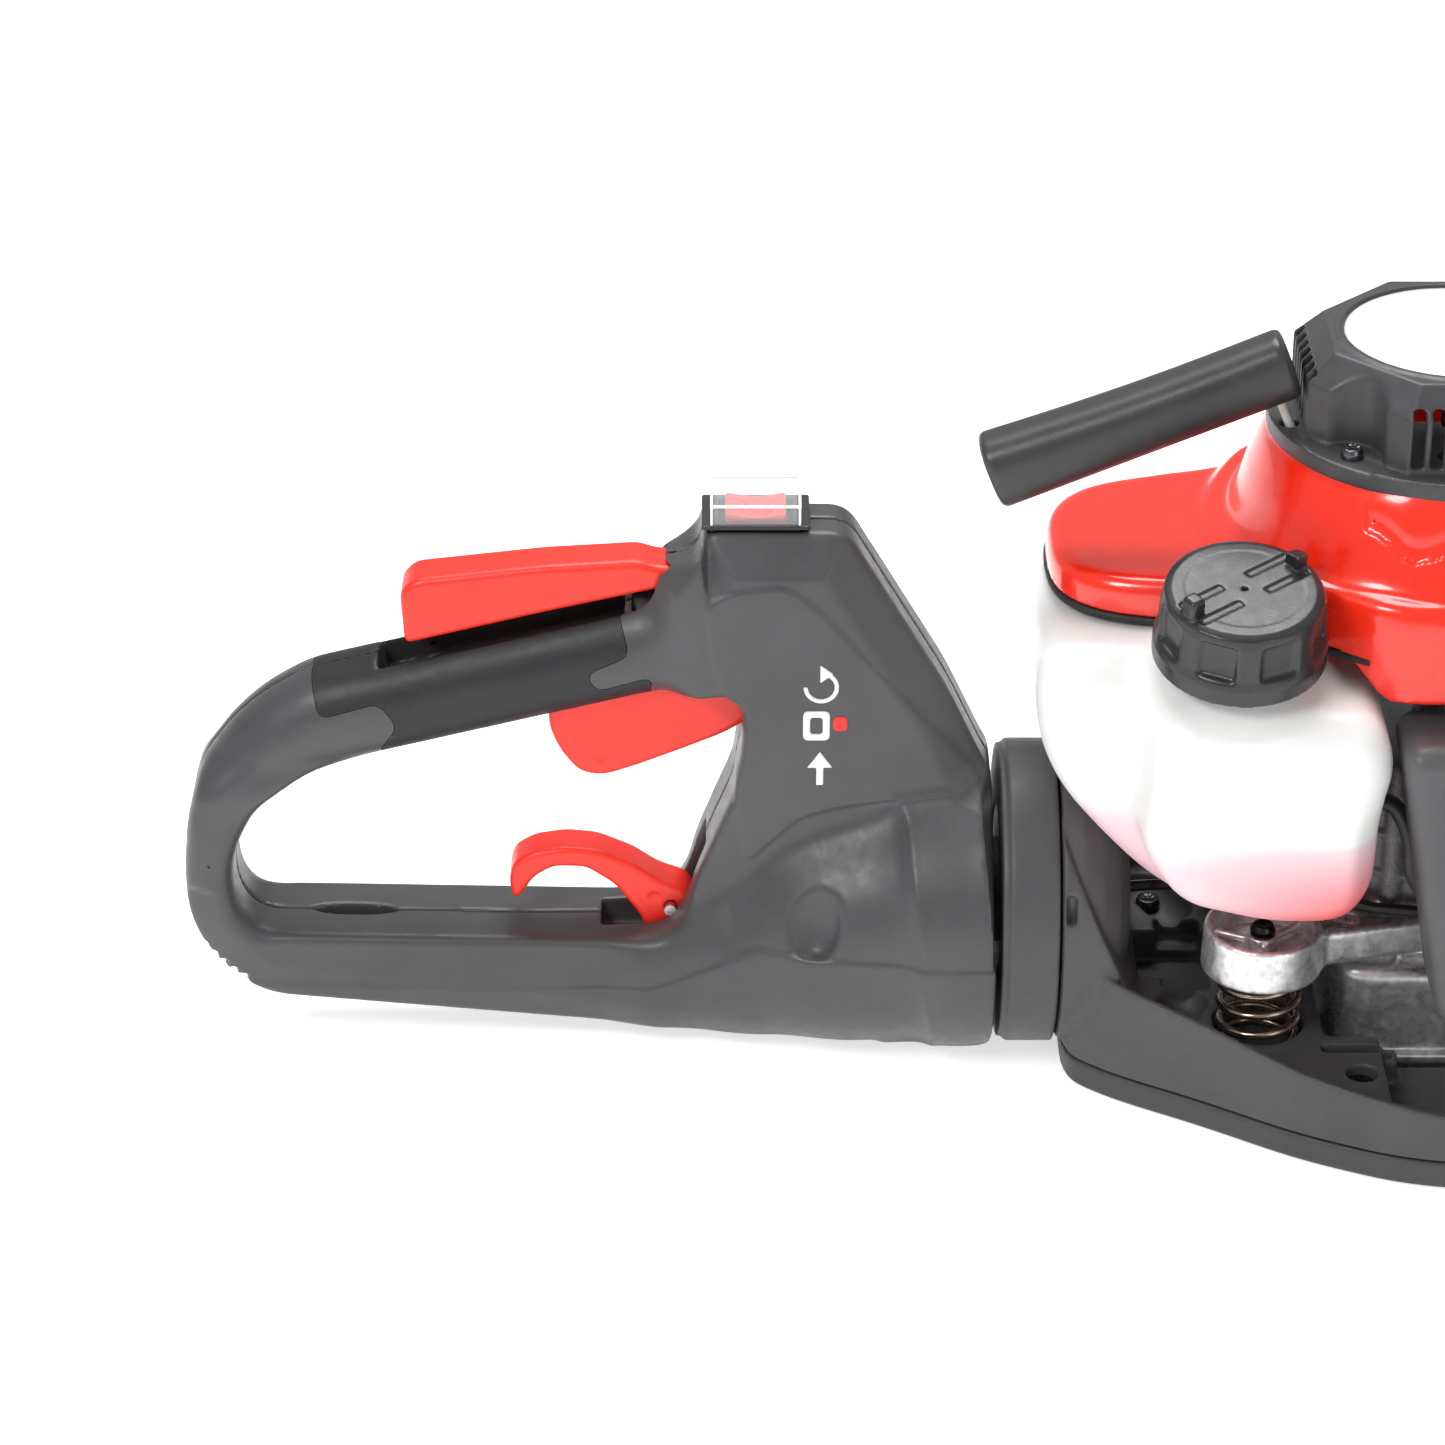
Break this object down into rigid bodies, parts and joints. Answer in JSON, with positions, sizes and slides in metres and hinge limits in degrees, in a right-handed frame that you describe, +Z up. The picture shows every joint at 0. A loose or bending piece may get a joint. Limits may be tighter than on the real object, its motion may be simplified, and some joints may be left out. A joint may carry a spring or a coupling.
{
  "type": "hedge trimmer",
  "caption": "Petrol hedge trimmer with a swivelling rear loop handle, sprung engine carrier, pull starter, front bow handle, hand guard and a pair of sliding blades.",
  "frame": {"origin": "flat underside of the base, straight below the crankshaft", "axes": "+X forwards along the blades, +Y to the left of the operator, +Z up"},
  "size_m": [1.129, 0.276, 0.2653],
  "materials": {
    "grey_plastic": "moulded, fine grain",
    "black_plastic": "moulded, satin",
    "soft_grip": "soft matt",
    "red_plastic": "glossy",
    "clear_plastic": "clear moulded",
    "white_plastic": "translucent blow-moulded",
    "cast_aluminium": "as cast",
    "steel": "bright",
    "rubber": "matt",
    "foam": "open foam"
  },
  "bodies": {
    "base_frame": {"base_tray": "black_plastic", "base_skirt": "black_plastic", "swivel_collar": "black_plastic", "lock_ring": "steel", "spring_rear_right": "steel", "spring_rear_left": "steel", "spring_front_right": "steel", "spring_front_left": "steel", "front_handle": "black_plastic", "hand_guard": "black_plastic"},
    "rear_handle": {"handle_shell_right": "grey_plastic", "handle_shell_left": "grey_plastic", "grip_sleeve": "soft_grip", "swivel_spigot": "black_plastic", "switch_frame": "black_plastic", "switch_cover": "clear_plastic", "trigger_pin": "steel", "lockout_pin": "steel", "lock_lever_pin": "steel", "throttle_cable_rear": "rubber"},
    "trigger": {"throttle_trigger": "red_plastic"},
    "lockout": {"lockout_lever": "red_plastic"},
    "lock_lever": {"swivel_lock_lever": "red_plastic"},
    "lock_pin": {"swivel_lock_pin": "steel"},
    "stop_switch": {"stop_rocker": "red_plastic"},
    "engine": {"gear_case": "cast_aluminium", "gear_case_cover": "steel", "crankcase": "cast_aluminium", "cylinder": "cast_aluminium", "spark_plug": "steel", "plug_boot": "rubber", "muffler": "steel", "muffler_guard": "steel", "carburettor": "cast_aluminium", "air_filter_base": "grey_plastic", "air_filter_element": "foam", "air_filter_cover": "grey_plastic", "ignition_coil": "black_plastic", "fuel_tank": "white_plastic", "fuel_hose": "rubber", "throttle_cable_front": "rubber", "engine_shroud": "red_plastic", "starter_housing": "black_plastic", "blade_bar": "steel", "blade_bolt_1": "steel", "blade_bolt_2": "steel"},
    "filler_cap": {"fuel_cap": "black_plastic"},
    "pull_starter": {"starter_grip": "black_plastic", "starter_rope": "white_plastic"},
    "reel": {"starter_reel": "steel"},
    "crank": {"crankshaft": "steel", "flywheel": "steel"},
    "drum": {"clutch_drum": "steel"},
    "gear": {"drive_gear": "steel"},
    "piston_body": {"piston": "cast_aluminium"},
    "blade_low": {"lower_blade": "steel"},
    "blade_high": {"upper_blade": "steel"},
    "choke": {"choke_lever": "red_plastic"},
    "primer": {"primer_bulb": "clear_plastic"}
  },
  "joints": [
    {"name": "handle_swivel", "type": "hinge", "parent": "base_frame", "child": "rear_handle", "pos_m": [-0.146, 0, 0.0525], "axis": [1, 0, 0], "range_deg": [-90, 90]},
    {"name": "throttle", "type": "hinge", "parent": "rear_handle", "child": "trigger", "pos_m": [-0.227, 0, 0.141], "axis": [0, 1, 0], "range_deg": [0, 14], "stiffness_Nm_per_rad": 0.4, "springref_deg": -11.46},
    {"name": "lockout_press", "type": "hinge", "parent": "rear_handle", "child": "lockout", "pos_m": [-0.243, 0, 0.1775], "axis": [0, -1, 0], "range_deg": [0, 8], "stiffness_Nm_per_rad": 0.8, "springref_deg": -11.46},
    {"name": "swivel_unlock", "type": "hinge", "parent": "rear_handle", "child": "lock_lever", "pos_m": [-0.258, 0, 0.05], "axis": [0, 1, 0], "range_deg": [0, 14], "stiffness_Nm_per_rad": 0.8, "springref_deg": -11.46},
    {"name": "lock_pin_slide", "type": "slide", "parent": "rear_handle", "child": "lock_pin", "axis": [-1, 0, 0], "range_m": [0, 0.0082]},
    {"name": "stop_rock", "type": "hinge", "parent": "rear_handle", "child": "stop_switch", "pos_m": [-0.229, 0, 0.19], "axis": [0, 1, 0], "range_deg": [-8, 8]},
    {"name": "engine_float", "type": "slide", "parent": "base_frame", "child": "engine", "axis": [0, 0, 1], "range_m": [-0.003, 0.003], "stiffness_N_per_m": 30000, "springref_m": 0.0015, "deforming": ["spring_rear_right", "spring_rear_left", "spring_front_right", "spring_front_left"]},
    {"name": "cap_turn", "type": "hinge", "parent": "engine", "child": "filler_cap", "pos_m": [-0.074, -0.068, 0.178], "axis": [0, -0.225, 0.9744], "range_deg": [0, 360]},
    {"name": "pull", "type": "slide", "parent": "engine", "child": "pull_starter", "axis": [-0.3697, 0, 0.9292], "range_m": [0, 0.6], "stiffness_N_per_m": 12, "springref_m": -0.8, "deforming": ["starter_rope"]},
    {"name": "reel_turn", "type": "hinge", "parent": "engine", "child": "reel", "pos_m": [0, 0, 0.211], "axis": [0, 0, 1], "range_deg": [0, 1440]},
    {"name": "crank_turn", "type": "hinge", "parent": "engine", "child": "crank", "pos_m": [0, 0, 0.1], "axis": [0, 0, 1], "continuous": true},
    {"name": "drum_turn", "type": "hinge", "parent": "engine", "child": "drum", "pos_m": [0, 0, 0.05], "axis": [0, 0, 1], "continuous": true},
    {"name": "gear_turn", "type": "hinge", "parent": "engine", "child": "gear", "pos_m": [0.038, 0, 0.03], "axis": [0, 0, 1], "continuous": true},
    {"name": "piston_slide", "type": "slide", "parent": "engine", "child": "piston_body", "axis": [1, 0, 0], "range_m": [-0.013, 0.013]},
    {"name": "upper_blade_slide", "type": "slide", "parent": "engine", "child": "blade_high", "axis": [1, 0, 0], "range_m": [-0.007, 0.007]},
    {"name": "lower_blade_slide", "type": "slide", "parent": "engine", "child": "blade_low", "axis": [1, 0, 0], "range_m": [-0.007, 0.007]},
    {"name": "choke_turn", "type": "hinge", "parent": "engine", "child": "choke", "pos_m": [0.11, -0.064, 0.118], "axis": [1, 0, 0], "range_deg": [0, 55]},
    {"name": "primer_press", "type": "slide", "parent": "engine", "child": "primer", "axis": [-1, 0, 0], "range_m": [0, 0.003], "stiffness_N_per_m": 300}
  ],
  "couplings": [
    {"joint": "lock_pin_slide", "follows": "swivel_unlock", "m_per_rad": 0.032},
    {"joint": "reel_turn", "follows": "pull", "rad_per_m": 25},
    {"joint": "gear_turn", "follows": "drum_turn", "ratio": -0.20455},
    {"joint": "lower_blade_slide", "follows": "upper_blade_slide", "ratio": -1}
  ]
}
